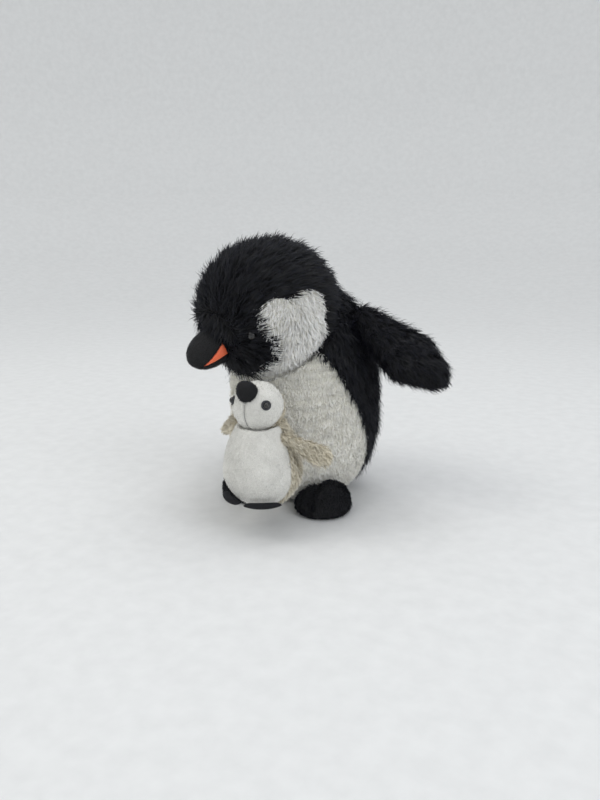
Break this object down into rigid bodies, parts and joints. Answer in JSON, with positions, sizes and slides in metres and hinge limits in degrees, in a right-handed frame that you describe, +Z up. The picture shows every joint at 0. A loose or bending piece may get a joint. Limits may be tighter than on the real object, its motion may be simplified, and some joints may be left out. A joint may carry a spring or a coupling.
{
  "type": "plush penguin with chick",
  "caption": "Soft toy: a bowed black and white mother penguin with a small beige and white chick sewn to her belly.",
  "frame": {"origin": "on the floor, under the middle of the mother's body", "axes": "+Z up, the mother faces -Y, her left wing is on +X"},
  "size_m": [0.2755, 0.2515, 0.263],
  "materials": {
    "black_fur": "long-pile faux fur, blue-black",
    "black_cloth": "woven cotton, black",
    "white_plush": "sheared nubby plush, off-white",
    "white_fur": "fluffy plush, white",
    "stuffing": "polyester fibre filling",
    "pellet_cloth": "woven cotton bag of plastic pellets",
    "black_velour": "short-pile velour, black",
    "black_plush": "short-pile plush, black",
    "orange_felt": "smooth felt, coral orange",
    "eye_bead": "polished moulded bead, black",
    "washer_plastic": "moulded nylon, natural",
    "white_velboa": "short-pile velboa, white",
    "beige_plush": "fluffy plush, beige",
    "navy_felt": "felt, dark navy",
    "grey_felt": "felt, dark grey",
    "satin": "satin, pale lilac white"
  },
  "bodies": {
    "torso": {"back_cover": "black_fur", "belly_panel": "white_plush", "base_panel": "black_cloth", "body_stuffing": "stuffing", "pellet_bag": "pellet_cloth", "tail": "black_fur"},
    "neck": {"neck_skin": "black_fur"},
    "head": {"hood": "black_fur", "left_throat_patch": "white_fur", "right_throat_patch": "white_fur", "head_stuffing": "stuffing", "upper_beak": "black_velour", "lower_beak": "black_velour", "left_gape": "orange_felt", "right_gape": "orange_felt", "left_eye": "eye_bead", "right_eye": "eye_bead", "left_eye_washer": "washer_plastic", "right_eye_washer": "washer_plastic"},
    "left_wing": {"left_wing_cover": "black_fur", "left_wing_stuffing": "stuffing"},
    "right_wing": {"right_wing_cover": "black_fur", "right_wing_stuffing": "stuffing"},
    "left_foot": {"left_foot_cover": "black_plush", "left_foot_stuffing": "stuffing"},
    "right_foot": {"right_foot_cover": "black_plush", "right_foot_stuffing": "stuffing"},
    "chick_body": {"chick_front_panel": "white_velboa", "chick_back_cover": "beige_plush", "chick_base": "white_velboa", "chick_stuffing": "stuffing", "chick_left_foot": "navy_felt", "chick_right_foot": "navy_felt"},
    "chick_neck": {"chick_neck_skin": "white_velboa"},
    "chick_head": {"chick_face_left": "white_velboa", "chick_face_right": "white_velboa", "chick_head_back": "beige_plush", "chick_head_stuffing": "stuffing", "chick_beak": "black_velour", "chick_left_eye_felt": "grey_felt", "chick_right_eye_felt": "grey_felt", "chick_left_eye": "eye_bead", "chick_right_eye": "eye_bead"},
    "chick_left_wing": {"chick_left_flipper": "beige_plush", "chick_left_flipper_lining": "satin"},
    "chick_right_wing": {"chick_right_flipper": "beige_plush", "chick_right_flipper_lining": "satin"}
  },
  "joints": [
    {"name": "neck_turn", "type": "hinge", "parent": "torso", "child": "neck", "pos_m": [-0.015, -0.052, 0.199], "axis": [0, -0.5878, 0.809], "range_deg": [-18, 18]},
    {"name": "head_nod", "type": "hinge", "parent": "neck", "child": "head", "pos_m": [-0.015, -0.052, 0.199], "axis": [0.8988, -0.4384, 0], "range_deg": [-16, 8]},
    {"name": "left_wing_lift", "type": "hinge", "parent": "torso", "child": "left_wing", "pos_m": [0.066, 0, 0.19], "axis": [0, -1, 0], "range_deg": [0, 40]},
    {"name": "right_wing_lift", "type": "hinge", "parent": "torso", "child": "right_wing", "pos_m": [-0.07, 0.024, 0.168], "axis": [0.6428, 0.766, 0], "range_deg": [0, 45]},
    {"name": "left_foot_flex", "type": "hinge", "parent": "torso", "child": "left_foot", "pos_m": [0.05, -0.022, 0], "axis": [-1, 0, 0], "range_deg": [0, 8]},
    {"name": "right_foot_flex", "type": "hinge", "parent": "torso", "child": "right_foot", "pos_m": [-0.038, -0.024, 0], "axis": [-1, 0, 0], "range_deg": [0, 8]},
    {"name": "chick_lean", "type": "hinge", "parent": "torso", "child": "chick_body", "pos_m": [0.022, -0.08, 0.04], "axis": [1, 0, 0], "range_deg": [0, 16]},
    {"name": "chick_neck_turn", "type": "hinge", "parent": "chick_body", "child": "chick_neck", "pos_m": [0.021, -0.122, 0.122], "axis": [0, 0, 1], "range_deg": [-25, 25]},
    {"name": "chick_head_nod", "type": "hinge", "parent": "chick_neck", "child": "chick_head", "pos_m": [0.021, -0.122, 0.122], "axis": [1, 0, 0], "range_deg": [-8, 20]},
    {"name": "chick_left_wing_lift", "type": "hinge", "parent": "chick_body", "child": "chick_left_wing", "pos_m": [0.048, -0.119, 0.094], "axis": [0.2079, -0.9781, 0], "range_deg": [-4, 28]},
    {"name": "chick_right_wing_lift", "type": "hinge", "parent": "chick_body", "child": "chick_right_wing", "pos_m": [-0.004, -0.119, 0.094], "axis": [0.7071, 0.7071, 0], "range_deg": [-4, 28]}
  ]
}
